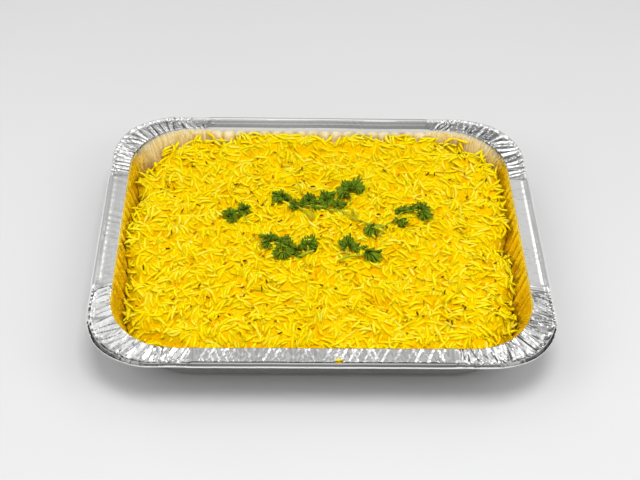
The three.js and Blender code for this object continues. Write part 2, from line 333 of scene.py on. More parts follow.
class Finish:
    """A material: its shader's even values, and the nodes that vary the rest."""

    def __init__(self, name, **even):
        self.material = bpy.data.materials.new(name)
        self.material.use_nodes = True
        self.tree = self.material.node_tree
        self.shader = self.tree.nodes["Principled BSDF"]
        for socket, value in even.items():
            self.shader.inputs[socket.replace("_", " ")].default_value = value

    def node(self, kind, settings=None, sockets=None, output=0):
        """Any node: its settings first, then its sockets' values or links, by name or number."""
        step = self.tree.nodes.new(kind)
        for key, value in (settings or {}).items():
            if key == "stops":
                ramp = step.color_ramp.elements
                for stop, (position, colour) in zip((ramp[0], ramp[-1]), (value[0], value[-1])):
                    stop.position, stop.color = position, colour
                for position, colour in value[1:-1]:
                    ramp.new(position).color = colour
            else:
                setattr(step, key, value)
        for key, value in (sockets or {}).items():
            self.feed(step.inputs[key], value)
        return Wire(self.tree, step.outputs[output])

    def feed(self, socket, value):
        if isinstance(value, Wire):
            self.tree.links.new(value.socket, socket)
        else:
            socket.default_value = value

    def place(self, stretch=(1, 1, 1)):
        """The place on the piece, stretched along its axes."""
        here = self.node("ShaderNodeTexCoord", output="Object")
        return self.node("ShaderNodeMapping", {}, {"Vector": here, "Scale": stretch})

    def noise(self, scale, detail=2.0, stretch=(1, 1, 1)):
        sockets = {"Vector": self.place(stretch), "Scale": scale, "Detail": detail}
        return self.node("ShaderNodeTexNoise", {}, sockets)

    def mix(self, share, first, second):
        """Two colours mixed."""
        sockets = {0: share, 6: first, 7: second}
        return self.node("ShaderNodeMix", {"data_type": "RGBA"}, sockets, output=2)

    def read(self, name):
        return self.node("ShaderNodeAttribute", {"attribute_name": name}, output="Fac")

    def eased(self, share):
        """The surface's normal, turned towards straight up by the rest of a share."""
        facing = self.node("ShaderNodeNewGeometry", output="Normal")
        upward = (0, 0, 1 - share)
        sockets = {0: facing, 1: (share, share, share), 2: upward}
        leant = self.node("ShaderNodeVectorMath", {"operation": "MULTIPLY_ADD"}, sockets)
        return self.node("ShaderNodeVectorMath", {"operation": "NORMALIZE"}, {0: leant})

    def bump(self, height, distance, strength=1.0, normal=None):
        sockets = {"Height": height, "Distance": distance, "Strength": strength}
        if normal is not None:
            sockets["Normal"] = normal
        self.feed(self.shader.inputs["Normal"], self.node("ShaderNodeBump", {}, sockets, "Normal"))

    def vary(self, **sockets):
        for socket, value in sockets.items():
            self.feed(self.shader.inputs[socket.replace("_", " ")], value)


def foil_finish():
    """Bright rolled aluminium with fine folds across its section, duller down the walls.

    A film of starch covers the far wall. Its cream and yellow streaks are painted light and shade
    along the flutes and folds, and above its arched top the wall is painted grey as a dim
    reflection. The other inner walls are painted with golden streaks as the reflection of the
    rice, and the underside a darker grey as the shade it reflects from the floor.
    """
    foil = Finish("foil")
    lines = foil.noise(900, 2, stretch=(0.02, 1, 1))
    cloud = foil.noise(40, 2)
    along, out = foil.read("run"), foil.read("walk")
    spot = foil.node("ShaderNodeCombineXYZ", {}, {"X": along, "Y": out * 0.16})
    fold = foil.node("ShaderNodeTexNoise", {}, {"Vector": spot, "Scale": 620, "Detail": 2.0})
    crinkle = foil.noise(420, 2)
    wall = foil.read("wall")
    bright = foil.mix(cloud, (0.88, 0.88, 0.87, 1), (0.96, 0.96, 0.95, 1))
    bright = foil.mix(foil.read("stain"), bright, (0.90, 0.68, 0.24, 1))
    film = foil.read("film") * (1 - foil.read("under"))
    # The film's streaks are painted light and shade: paler on the flutes' crowns and on the folds,
    # darker in the grooves
    starch = foil.mix(foil.read("streaks"), (0.82, 0.60, 0.15, 1), (0.95, 0.90, 0.66, 1))
    # Above the film's arched top the wall is painted grey, as a dim reflection
    starch = foil.mix(foil.read("washed"), (0.60, 0.61, 0.63, 1), starch)
    # Golden streaks painted on the other inner walls as the reflection of the rice
    gold = foil.mix(foil.read("streaks"), (0.62, 0.36, 0.002, 1), (1.0, 0.80, 0.02, 1))
    starch = foil.mix(foil.read("gilt"), starch, gold)
    bright = foil.mix(film + 0.5 * foil.read("gilt"), bright, starch)
    foil.vary(
        # The underside is painted a darker grey, as the shade it reflects from the floor under the
        # rim
        Base_Color=foil.mix(foil.read("under"), bright, (0.56, 0.56, 0.54, 1)),
        Metallic=1 - 0.7 * film,
        Roughness=0.05 + 0.22 * wall + 0.04 * cloud + 0.03 * lines,
    )
    folded = fold + crinkle * foil.read("crumple")
    foil.bump(folded * foil.read("crimp") + 0.03 * lines, 1.1 * MM)
    return foil.material


# Light soaks into cooked rice, red the deepest
SOFT_LIGHT = {
    "Subsurface_Weight": 0.85,
    "Subsurface_Scale": 3 * MM,
    "Subsurface_Radius": (1.0, 0.75, 0.1),
}
# The tones of the grains, from stained by spice to pale; the deeper tones also paint the shade
# below and beside grains
RICE_TONES = [
    (0.0, (0.58, 0.23, 0.001, 1)),
    (0.2, (0.95, 0.51, 0.001, 1)),
    (0.5, (0.96, 0.652, 0.003, 1)),
    (0.95, (0.97, 0.69, 0.08, 1)),
]


def rice_finish():
    """Cooked rice, each grain in its own tone, deepened as painted shade on its sides and below
    the skin, with no hard shine.
    """
    rice = Finish("cooked rice", Specular_IOR_Level=0.0, **SOFT_LIGHT)
    cloud = rice.noise(90, 2)
    tone = rice.read("tone") + 0.4 * (cloud - 0.5)
    rice.vary(
        Base_Color=rice.node("ShaderNodeValToRGB", {"stops": RICE_TONES}, {"Fac": tone}),
        Roughness=0.38 + 0.2 * cloud,
    )
    rice.bump(rice.noise(1500, 2), 0.06 * MM, 0.5, rice.eased(0.26))
    return rice.material


def core_finish():
    """The rice below the loose grains: painted a deeper orange as the warm shade in the gaps,
    lumpy.
    """
    core = Finish("packed rice", Specular_IOR_Level=0.0, **SOFT_LIGHT)
    lumps = core.noise(420, 2)
    core.vary(
        # Painted a deeper orange than the grains, as the warm shade in the gaps between them
        Base_Color=core.mix(lumps, (0.93, 0.56, 0.001, 1), (0.95, 0.64, 0.001, 1)),
        Roughness=0.5 + 0.2 * lumps,
    )
    core.bump(lumps, 0.8 * MM)
    return core.material


def seed_finish():
    """Toasted seeds, nearly black, and specks of spice, orange-brown."""
    seed = Finish("toasted seeds", Specular_IOR_Level=0.0)
    streaks = seed.noise(1400, 2)
    dark = seed.mix(streaks, (0.06, 0.015, 0.001, 1), (0.2, 0.065, 0.001, 1))
    seed.vary(
        Base_Color=seed.mix(seed.read("tone"), dark, (0.50, 0.20, 0.003, 1)),
        Roughness=0.45 + 0.2 * streaks,
    )
    seed.bump(streaks, 0.1 * MM)
    return seed.material


def parsley_finish():
    """Dark leaves, painted lighter on the crests of their folds and darker in the valleys and at
    the base, with paler ribs and a painted sheen along the ridges, and olive stems.
    """
    leaf = Finish("parsley", Specular_IOR_Level=0.02)
    blotch = leaf.noise(420, 3)
    # Painted light and shade: the leaf is lighter on its crests and darker in its folds
    light = 0.3 * blotch + 0.85 * leaf.read("crest") - 0.12
    blade = leaf.mix(light, (0.003, 0.013, 0.0005, 1), (0.14, 0.29, 0.016, 1))
    leaf.vary(
        Base_Color=leaf.mix(leaf.read("rib") * 0.75, blade, (0.50, 0.56, 0.03, 1)),
        Roughness=0.42 + 0.25 * blotch,
    )
    leaf.bump(leaf.noise(1100, 2), 0.15 * MM)
    return leaf.material


def floor_finish():
    """A plain pale table."""
    floor = Finish("pale table", Specular_IOR_Level=0.2)
    cloud = floor.noise(3, 2)
    floor.vary(
        Base_Color=floor.mix(cloud, (0.615, 0.615, 0.62, 1), (0.655, 0.655, 0.66, 1)),
        Roughness=0.55 + 0.1 * cloud,
    )
    return floor.material


# ---------------------------------------------------------------- the tray

def reach(inset, local):
    """How far a ring at an inset lies from a corner's pivot, at an angle within the corner."""
    extent = PIVOT_INSET - inset
    radius = CORNER_RADIUS - inset * CORNER_TAPER
    middle = extent - radius
    c, s = np.cos(local), np.sin(local)
    side = extent / np.maximum(c, s)
    half = middle * (c + s)
    rounded = half + np.sqrt(np.maximum(half**2 - 2 * middle**2 + radius**2, 0))
    return np.where(side * np.minimum(c, s) <= middle, side, rounded)


class Round:
    """The places round the tray where its section stands, corner by corner and side by side."""

    def __init__(self, corner, back, short, front):
        pivot_x, pivot_y = TRAY_X - PIVOT_INSET, TRAY_Y - PIVOT_INSET
        pivots = [
            (pivot_x * right, pivot_y * back)
            for right, back in ((1, 1), (-1, 1), (-1, -1), (1, -1))
        ]
        rows = []
        for k, (x, y) in enumerate(pivots):
            for i in range(corner):
                local = math.pi / 2 * i / corner
                rows.append((x, y, local, k * math.pi / 2 + local, i / corner, k + i / corner, 1))
            next_x, next_y = pivots[(k + 1) % 4]
            steps = (back, short, front, short)[k]
            for j in range(steps):
                t = j / steps
                turn = (k + 1) * math.pi / 2
                rows.append((x + (next_x - x) * t, y + (next_y - y) * t, 0, turn, t, k + t, 0))
        rows.append(rows[0])
        table = np.array(rows).T
        self.x, self.y, self.local, self.turn, self.share, self.part, self.corner = table
        self.side = np.floor(self.part).astype(int)
        self.count = len(rows) - 1
        middle = self.at(np.full(self.count + 1, 10 * MM))
        steps = np.hypot(*np.diff(middle, axis=1))
        self.run = np.concatenate([[0], np.cumsum(steps)])
        self.length = self.run[-1]
        fade = np.minimum(self.share, 1 - self.share)
        self.crimped = self.corner * rise(0.0, 0.04, fade)

    def at(self, inset, column=slice(None)):
        far = reach(inset, self.local[column])
        turn = self.turn[column]
        return np.array([self.x[column] + far * np.cos(turn), self.y[column] + far * np.sin(turn)])


def tray_section():
    """The foil's upper face from the hem's folded end to the middle of the base.

    Each point is an inset, a height and a share of its ring's distance from the middle.
    """
    points = [(inset * MM, TRAY_TOP - drop * MM, 1) for inset, drop in RIM_POINTS]
    for height in WALL_ROWS:
        points.append((wall_inset(height * MM), height * MM, 1))
    for inset, height in FILLET_POINTS:
        points.append((inset * MM, height * MM, 1))
    points.append((BASE_INSET, points[-1][1], 0.55))
    points.append((BASE_INSET, points[-1][1], 0))
    return np.array(points).T


def tray_piece():
    """The foil tray: fluted walls, crimped corners, creased flange and rolled hem."""
    inset, height, scale = tray_section()
    places = Round(COLUMNS_CORNER, COLUMNS_BACK, COLUMNS_SHORT, COLUMNS_FRONT)
    tray, column, row = grid_sheet("foil_tray_pressed", places.count, len(inset) - 1)
    walk = np.concatenate([[0], np.cumsum(np.hypot(np.diff(inset), np.diff(height)))])
    inset, height, scale = inset[row], height[row], scale[row]
    run, whole = places.run[column], places.length
    crimped, share = places.crimped[column], places.share[column]
    corner, side = places.corner[column], places.side[column]

    # Flutes: arches pressed into the wall, each ending in a rounded top
    steps = np.where(corner == 1, FLUTES_CORNER, np.where(side % 2, FLUTES_SHORT, FLUTES_LONG))
    arch = np.abs(np.sin(math.pi * share * steps))
    flute_top = FLUTE_TOP + FLUTE_ARCH * arch
    flute = rise(flute_top + 1.5 * MM, flute_top - 2.5 * MM, height)
    flute = flute * rise(1.5 * MM, 6 * MM, height)
    inset = inset + FLUTE_DEPTH * (arch**0.75 - 0.6) * flute * (1 - 0.45 * crimped)

    # Folds of the corner walls, finer and closer than the flutes
    on_wall = rise(2 * MM, 12 * MM, height) * rise(16.2 * MM, 17 * MM, inset)
    lean = 0.25 * np.sin(run / (13 * MM)) + 0.15 * np.sin(run / (5 * MM))
    up_wall = height - 20 * MM
    wall_folds = folds(run + lean * up_wall, whole, 1.8 * MM, 11)
    wall_folds = wall_folds + 0.8 * folds(run - lean * up_wall, whole, 2.6 * MM, 12)
    inset = inset + CORNER_FOLD * wall_folds * on_wall * crimped
    straight_folds = folds(run + 0.2 * lean * up_wall, whole, 3.4 * MM, 13)
    depth = np.where(side % 2, END_FOLD, WALL_FOLD)
    inset = inset + depth * straight_folds * on_wall * (1 - crimped)

    # The flange: deep radial pleats in the corners, crossing creases along the front
    inner_edge = rise(17.6 * MM, 15.2 * MM, inset)
    flange = rise(3.2 * MM, 4.8 * MM, inset) * inner_edge
    hem = rise(6.2 * MM, 4.6 * MM, inset)
    pleated = rise(1.8 * MM, 3.2 * MM, inset) * inner_edge
    across = inset - 10 * MM
    veer = 0.35 * np.sin(run / (9 * MM)) + 0.25 * np.sin(run / (4.3 * MM) + 1)
    pleats = folds(run + veer * across, whole, PLEAT_PITCH, 21, 0.5, 0.5)
    pleats = pleats + 0.35 * folds(run - 0.3 * across, whole, 3.7 * MM, 22)
    fade = np.minimum(share, 1 - share)
    front = (side == 2) * (1 - corner) * rise(0, 0.03, fade)
    back = (side == 0) * (1 - corner)
    ends = (side % 2 == 1) * (1 - corner)
    lively = rise(-1.2, 0.9, np.sin(run / (23 * MM)) + 0.8 * np.sin(run / (8.7 * MM)))
    creases = folds(run + 0.4 * across, whole, 2.5 * MM, 23, 0.2, 0.5)
    creases = creases + folds(run - 0.5 * across, whole, 3.1 * MM, 24, 0.2, -0.5)
    sway = np.sin(run / (19 * MM) + 0.5) + 0.7 * np.sin(run / (11 * MM))
    dimples = swells(run, inset, 2.2 * MM, 6 * MM, 18, 25)
    # The pleats fade out at a slant, and are shallower at the back
    far = places.y[column] > 0
    puckered = crimped * rise(0.0, 0.05, fade - 0.0035 * (6 - across / MM))
    puckered = puckered * np.where(far, 0.65, 1)
    level = crimped * pleated + (1 - crimped) * (0.3 + 0.7 * front) * flange
    drop = FLANGE_DROP * level + PLEAT * pleats * puckered * pleated
    drop = drop + DIMPLE * (1.5 + dimples) * crimped * (flange + hem)
    drop = drop + FRONT_CREASE * creases * front * (0.7 + 0.3 * lively) * flange
    drop = drop + SIDE_CREASE * creases * (0.3 * back + ends) * (0.25 + 0.75 * lively) * flange
    drop = drop + SWAY * sway * flange
    from_rib = inset - np.where(side % 2 == 1, RIB_INSET_ENDS, RIB_INSET_BACK)
    rib = 0.5 + 0.5 * np.cos(math.pi * np.clip(from_rib / RIB_REACH, -1, 1))
    drop = drop + RIB * rib * (back + ends)

    # The hem: finely crinkled round the corners, slightly wavy elsewhere
    crinkle = folds(run + 0.2 * across, whole, CRINKLE_PITCH, 31)
    drop = drop + CRINKLE * (1 + crinkle) * crimped * hem
    wander = HEM_WANDER * (1 + np.sin(run / (7 * MM)) * np.sin(run / (17 * MM)))
    push = HEM_PUSH * (1 + folds(run, whole, 2.0 * MM, 32)) * crimped
    inset = inset + (0.05 * MM + push + wander * (0.25 + 0.75 * crimped)) * hem

    x, y = places.at(np.minimum(inset, BASE_INSET + 1 * MM), column)
    z = np.minimum(height - drop, TRAY_TOP)
    place_corners(tray, np.stack([x * scale, y * scale, z], axis=1))

    # What the foil's finish reads: places along and across the section, how folded and how dull
    # it is, where the rice has stained it, and where light, shade and reflections are painted
    attribute(tray, "run", run)
    attribute(tray, "walk", walk[row])
    crimp = 0.02 + 0.10 * crimped * np.where(far, 3, 1) + 0.25 * on_wall
    attribute(tray, "crimp", crimp * scale)
    attribute(tray, "crumple", 0.7 - 0.6 * on_wall)
    attribute(tray, "stain", rise(31 * MM, 22 * MM, height) * on_wall)
    inside = rise(15.9 * MM, 16.6 * MM, inset)
    # The inner walls but the far one are painted golden, as the reflection of the rice
    gilt = rise(100 * MM, 75 * MM, y) * inside
    attribute(tray, "gilt", gilt)
    attribute(tray, "film", np.maximum(inside * rise(70 * MM, 108 * MM, y), 0.5 * gilt))
    # Above the film's arched top the far wall is painted grey, as a dim reflection
    washed = np.where(corner == 1, FILM_TOP_CORNER, FILM_TOP + FILM_ARCH * arch)
    attribute(tray, "washed", rise(washed + 0.8 * MM, washed - 0.8 * MM, height))
    # Painted light and shade of the flutes and folds, read as the film's streaks
    fluted = 0.9 * arch**0.5 - 0.5 + 0.35 * straight_folds
    attribute(tray, "streaks", 0.5 + 0.35 * wall_folds * crimped + fluted * (1 - crimped))
    dull = 0.5 + 0.5 * rise(85 * MM, 112 * MM, y)
    attribute(tray, "wall", rise(15.4 * MM, 15.8 * MM, inset) * dull)
    weld(tray)
    upper = len(tray.data.vertices)
    thicken(tray, FOIL)
    attribute(tray, "under", (np.arange(len(tray.data.vertices)) >= upper).astype(float))
    weld(tray)
    smooth(tray, 13)
    tray.data.materials.append(foil_finish())
    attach(tray, "root")
    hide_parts("foil_tray")
    return tray


def inset_at(x, y):
    """The inset of places in plan, the other way round from Round.at."""
    straight = np.minimum(TRAY_X - np.abs(x), TRAY_Y - np.abs(y))
    far_x = np.abs(x) - (TRAY_X - CORNER_RADIUS)
    far_y = np.abs(y) - (TRAY_Y - CORNER_RADIUS)
    keep = 1 - CORNER_TAPER
    a = 2 * keep**2 - CORNER_TAPER**2
    b = 2 * keep * (far_x + far_y) + 2 * CORNER_TAPER * CORNER_RADIUS
    c = far_x**2 + far_y**2 - CORNER_RADIUS**2
    rounded = (-b + np.sqrt(np.maximum(b * b - 4 * a * c, 0))) / (2 * a)
    in_corner = (far_x + keep * straight > 0) & (far_y + keep * straight > 0)
    return np.where(in_corner, rounded, straight)


def wall_inset(z):
    """The inset of the wall's inner face at a height."""
    return WALL_INSET + (WALL_TOP - z) * WALL_SLOPE


def wall_height(inset):
    """The height of the wall's inner face at an inset, and of the base inside it."""
    wall = WALL_TOP - (inset - WALL_INSET) / WALL_SLOPE
    return np.maximum(wall, 1 * MM)


# ---------------------------------------------------------------- the rice

# Where the rice rises or falls against the walls: x, y, how far it spreads, by how much (mm)
EDGE_LUMPS = (
    (-57, 110, 11, 10), (-30, 111, 7, 12), (-13, 111, 6, 8), (6, 111, 6, 6), (21, 111, 6, 9),
    (40, 111, 9, 7), (67, 111, 9, 11), (-90, 108, 12, 4), (-118, 105, 9, 5), (-130, 88, 7, -2),
    (93, 109, 9, 6), (116, 105, 9, 6), (134, 92, 7, 4), (-141, 47, 6, -13), (-141, 66, 7, 2),
    (-140, 31, 6, 3), (-141, -41, 9, -4), (-140, -66, 12, -9), (-132, -94, 11, -8),
    (141, 84, 12, 3), (141, -4, 8, -8), (140, -50, 10, -9), (140, -66, 9, -6),
    (132, -90, 10, -7),
)


def plan_grid():
    """The middles of the cells that cover the tray in plan."""
    x = np.arange(-TRAY_X, TRAY_X, CELL) + CELL / 2
    y = np.arange(-TRAY_Y, TRAY_Y, CELL) + CELL / 2
    return np.meshgrid(x, y)


def heap_height(x, y):
    """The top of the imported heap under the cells, its edge carried on outwards to the walls."""
    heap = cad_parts["rice_heap"]
    tree = BVHTree.FromPolygons(
        [v.co for v in heap.data.vertices], [tuple(p.vertices) for p in heap.data.polygons]
    )
    coarse_x, coarse_y = x[::HEAP_STEP, ::HEAP_STEP], y[::HEAP_STEP, ::HEAP_STEP]
    top = np.zeros(coarse_x.shape)
    for i, j in np.ndindex(top.shape):
        start = Vector((coarse_x[i, j], coarse_y[i, j], 1))
        hit = tree.ray_cast(start, Vector((0, 0, -1)))[0]
        if hit is not None:
            top[i, j] = hit.z
    found = (top > HEAP_EDGE).astype(float)
    level = top * found
    for _ in range(HEAP_REACH):
        near, weight = soften(level, 1), soften(found, 1)
        fresh = (found == 0) & (weight > 0)
        level[fresh] = near[fresh] / weight[fresh]
        found[fresh] = 1
    wide = np.repeat(np.repeat(level, HEAP_STEP, 0), HEAP_STEP, 1)
    return soften(wide[: x.shape[0], : x.shape[1]], 4)


def height_over(field, x, y):
    """A grid's height at places in plan."""
    column = np.clip(((x + TRAY_X) / CELL).astype(int), 0, field.shape[1] - 1)
    row = np.clip(((y + TRAY_Y) / CELL).astype(int), 0, field.shape[0] - 1)
    return field[row, column]


def soften(field, times):
    """Evens a grid out over its neighbours."""
    for _ in range(times):
        for axis in (0, 1):
            field = (np.roll(field, 1, axis) + 2 * field + np.roll(field, -1, axis)) / 4
    return field


def rice_surface(x, y):
    """The height that the laid grains should reach."""
    level = heap_height(x, y)
    for lump_x, lump_y, spread, height in EDGE_LUMPS:
        away = (x - lump_x * MM) ** 2 + (y - lump_y * MM) ** 2
        level = level + height * MM * np.exp(-away / (2 * (spread * MM) ** 2))
    level = level + 1.9 * MM * swells(x, y, 10 * MM, 28 * MM, 14, 41)
    level = level + 0.9 * MM * swells(x, y, 5 * MM, 9 * MM, 18, 42)
    return np.clip(level, RICE_FLOOR, TRAY_TOP - HEADROOM)


def core_piece(bed, surface):
    """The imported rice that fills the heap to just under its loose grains."""
    places = Round(*CORE_COLUMNS)
    core, column, row = grid_sheet("rice_core", places.count, CORE_RINGS + 1)
    x, y = plan_grid()
    clearance = inset_at(x, y) - wall_inset(surface)
    # The core keeps under the surface, and drops away beside the walls
    brim = surface + 1.2 * MM - 2.6 * MM * rise(7 * MM, 2 * MM, clearance)
    skin = np.minimum(soften(bed, CORE_EVENING) - CORE_DROP, brim)
    lumps = swells(x, y, 3 * MM, 8 * MM, 20, 43)
    pits = rise(0.5, 1.6, lumps + 0.6 * swells(x, y, 12 * MM, 40 * MM, 10, 45))
    skin = skin + CORE_LUMP * lumps - CORE_PIT * pits

    def core_top(across, along):
        return np.maximum(height_over(skin, across, along), RICE_FLOOR + 1 * MM)

    inset = np.full(len(column), CORE_BASE_INSET)
    for _ in range(3):
        edge = core_top(*places.at(inset, column))
        inset = np.clip(wall_inset(edge) + 0.8 * MM, WALL_INSET + 2 * MM, CORE_BASE_INSET)
    across, along = places.at(np.where(row == 0, CORE_BASE_INSET, inset), column)
    scale = np.clip(1 - (row - 1) / CORE_RINGS, 0, 1)
    across, along = across * scale, along * scale
    top = np.minimum(core_top(across, along), np.where(row == 1, edge, 1))
    place_corners(core, np.stack([across, along, np.where(row == 0, RICE_FLOOR, top)], axis=1))
    weld(core)
    bpy.ops.object.mode_set(mode="EDIT")
    bpy.ops.mesh.select_all(action="DESELECT")
    bpy.ops.mesh.select_non_manifold()
    bpy.ops.mesh.edge_face_add()
    bpy.ops.mesh.select_all(action="SELECT")
    bpy.ops.mesh.normals_make_consistent(inside=False)
    bpy.ops.object.mode_set(mode="OBJECT")
    smooth(core, 60)
    core.data.materials.append(core_finish())
    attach(core, "root")
    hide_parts("rice_heap")


# One grain has dropped on the front flange: its kind, place, turn, slope and roll
STRAY_GRAIN = (4, 10 * MM, -126 * MM, TRAY_TOP - 1.12 * MM, 0.15, 0.0, 0.0)

# Where spice has stained the rice: x, y, how far it spreads (mm), and how deep its tone
STAINS = (
    (26, 6, 2.6, 0.4), (48, 40, 1.6, 0.35), (73, 16, 2.4, 0.4), (-49, 19, 2.0, 0.35),
    (-36, 34, 1.8, 0.45), (55, -11, 2.6, 0.3), (67, -21, 1.9, 0.4), (21, -29, 2.2, 0.3),
    (-2, -16, 2.4, 0.35), (-55, -27, 1.7, 0.35), (57, 58, 1.5, 0.3), (30, 14, 1.6, 0.3),
    (36, -62, 3.6, 0.5), (73, -76, 2.2, 0.35), (84, -77, 2.0, 0.35), (95, -79, 2.0, 0.3),
    (67, -106, 2.2, 0.35), (103, -95, 2.2, 0.35), (120, -93, 1.8, 0.4), (39, -97, 2.0, 0.3),
)

# Painted shade: how much deeper in tone a grain's sides are than its top, as the light between
# grains is, and how much deeper a grain is painted that lies below the skin, as warm shade
PAINTED_SIDE_SHADE = 0.3
PAINTED_SUNK_SHADE = 0.42

# Each kind of grain: length, width and bow in millimetres, how thin its tips are, and its share
GRAIN_KINDS = {
    "rice_grains_long": (13.4, 2.35, 0.9, 0.50, 0.26),
    "rice_grains_bowed": (12.0, 2.3, 2.0, 0.55, 0.24),
    "rice_grains_plain": (10.2, 2.5, 0.4, 0.62, 0.19),
    "rice_grains_slim": (11.2, 2.0, 1.3, 0.48, 0.20),
    "rice_grains_broken": (5.8, 2.2, 0.3, 0.80, 0.11),
}

# How much the copies vary in length, width and height
GRAIN_SCALES = ((0.92, 1.0), (0.88, 1.06), (0.9, 1.05))


def grain_form(name, length, width, bow, tip):
    """One grain, lying along X about the origin, its tips drawn thin and its middle bowed."""
    grain, places = ball(name, 6, (length / 2, width / 2, width * 0.43))
    share = places[:, 0] / (length / 2)
    # A ball's rings crowd at its ends: they are spread along the grain
    spread = np.sign(share) * np.abs(share) ** 1.12
    thin = np.where(np.abs(share) > 0.75, tip + 0.25, 1.0)
    places[:, 0] = spread * length / 2
    places[:, 1:] *= thin[:, None]
    places[:, 1] += bow * (0.5 - spread**2)
    return places, faces_of(grain)


class Size:
    """What the laying needs to know of a kind of grain."""

    STATIONS = 9

    def __init__(self, length, width, bow):
        self.length = length
        self.radius = width / 2
        self.bow = bow
        self.along = np.linspace(-0.46, 0.46, self.STATIONS) * length
        self.across, self.under = self.section(self.along, np.array([-0.7, 0, 0.7]))
        self.fine = np.arange(-0.47 * length, 0.47 * length, 0.42 * MM)
        self.fine_across, self.over = self.section(self.fine, np.linspace(-0.95, 0.95, 6))

    def section(self, along, shares):
        """Sideways places at each station, and how far the grain reaches below or above them."""
        share = 2 * along / self.length
        radius = self.radius * np.sqrt(1 - 0.85 * share**2)
        sideways = radius[:, None] * shares + (self.bow * (0.5 - share**2))[:, None]
        depth = 0.86 * radius[:, None] * np.sqrt(1 - shares**2)
        return sideways, depth


def lay(bed, x, y, turn, size, lean):
    """Rests a grain on the bed: the height of its middle, and its slope."""
    c, s = math.cos(turn), math.sin(turn)
    slope = 0.0
    mid = Size.STATIONS // 2
    for _ in range(2):
        along = size.along / math.sqrt(1 + slope * slope)
        cell_x = ((x + along[:, None] * c - size.across * s + TRAY_X) / CELL).astype(int)
        cell_y = ((y + along[:, None] * s + size.across * c + TRAY_Y) / CELL).astype(int)
        need = (bed[cell_y, cell_x] + size.under).max(axis=1)
        left, right = need[:mid], need[mid + 1 :]
        left_arm, right_arm = -along[:mid], along[mid + 1 :]
        span = left_arm[:, None] + right_arm
        bridge = (left[:, None] * right_arm + right * left_arm[:, None]) / span
        best = int(bridge.argmax())
        height = bridge.flat[best]
        i, j = divmod(best, len(right))
        if height >= need[mid]:
            slope = (right[j] - left[i]) / span[i, j]
        else:
            height = need[mid]
            low = ((right - height) / right_arm).max()
            high = ((height - left) / left_arm).min()
            slope = low if lean < 0.5 else high
        slope = min(max(slope, -STEEPEST), STEEPEST)
        height = max(height, (need - slope * along).max())
    return height, slope


def press_in(bed, x, y, turn, size, height, slope):
    """Raises the bed to the top of a grain just laid."""
    c, s = math.cos(turn), math.sin(turn)
    along = size.fine / math.sqrt(1 + slope * slope)
    cell_x = ((x + along[:, None] * c - size.fine_across * s + TRAY_X) / CELL).astype(int)
    cell_y = ((y + along[:, None] * s + size.fine_across * c + TRAY_Y) / CELL).astype(int)
    top = height + slope * along[:, None] + size.over
    np.maximum.at(bed, (cell_y, cell_x), top)


def lay_rice(x, y, surface, sizes, shares):
    """Drops the grains one by one where the bed is lowest, each to rest on what is there."""
    rng = np.random.default_rng(7)
    inset = inset_at(x, y)
    core = np.maximum(surface - LAYING_DEPTH, RICE_FLOOR)
    bed = np.maximum(core, wall_height(inset - WALL_GAP))
    clearance = inset - wall_inset(surface)
    leaning = LEANING * rise(9 * MM, 3 * MM, clearance)
    fits = (clearance > 0.4 * MM) & (surface > RICE_FLOOR + 3 * MM)
    rows, columns = np.nonzero(fits)
    streams = swells(x, y, 18 * MM, 60 * MM, 8, 44) * 1.6
    laid = []
    tries = 0
    while len(laid) < GRAINS and tries < 3 * GRAINS:
        tries += 1
        pick = rng.integers(len(rows), size=PLACES_TRIED)
        i, j = rows[pick], columns[pick]
        ground = (bed[i, j] + bed[i - 5, j] + bed[i + 5, j] + bed[i, j - 5] + bed[i, j + 5]) / 5
        short = surface[i, j] - ground
        best = int(short.argmax())
        i, j = i[best], j[best]
        place_x, place_y = x[i, j], y[i, j]
        if rng.random() < STREAMING:
            turn = streams[i, j] + rng.normal(0, 0.5)
        else:
            turn = rng.uniform(0, math.pi)
        kind = int(rng.choice(len(sizes), p=shares))
        size = sizes[kind]
        height, slope = lay(bed, place_x, place_y, turn, size, rng.random())
        tip = height + abs(slope) * size.length / 2
        if tip > TRAY_TOP - TIP_GAP or height > surface[i, j] + 1.0 * MM + leaning[i, j]:
            continue
        height -= GRAIN_SINK
        press_in(bed, place_x, place_y, turn, size, height, slope)
        laid.append((kind, place_x, place_y, height, turn, slope, rng.normal(0, 0.35)))
    return laid, bed


def turned(turn, slope, roll):
    """The matrices of grains that lie at a turn in plan, a slope and a roll, one for each."""
    pitch = np.arctan(slope)
    zero, one = np.zeros_like(turn), np.ones_like(turn)
    c, s = np.cos(turn), np.sin(turn)
    about_z = np.array([[c, -s, zero], [s, c, zero], [zero, zero, one]])
    c, s = np.cos(pitch), np.sin(pitch)
    about_y = np.array([[c, zero, -s], [zero, one, zero], [s, zero, c]])
    c, s = np.cos(roll), np.sin(roll)
    about_x = np.array([[one, zero, zero], [zero, c, -s], [zero, s, c]])
    return np.einsum("ijn,jkn,kln->nil", about_z, about_y, about_x)


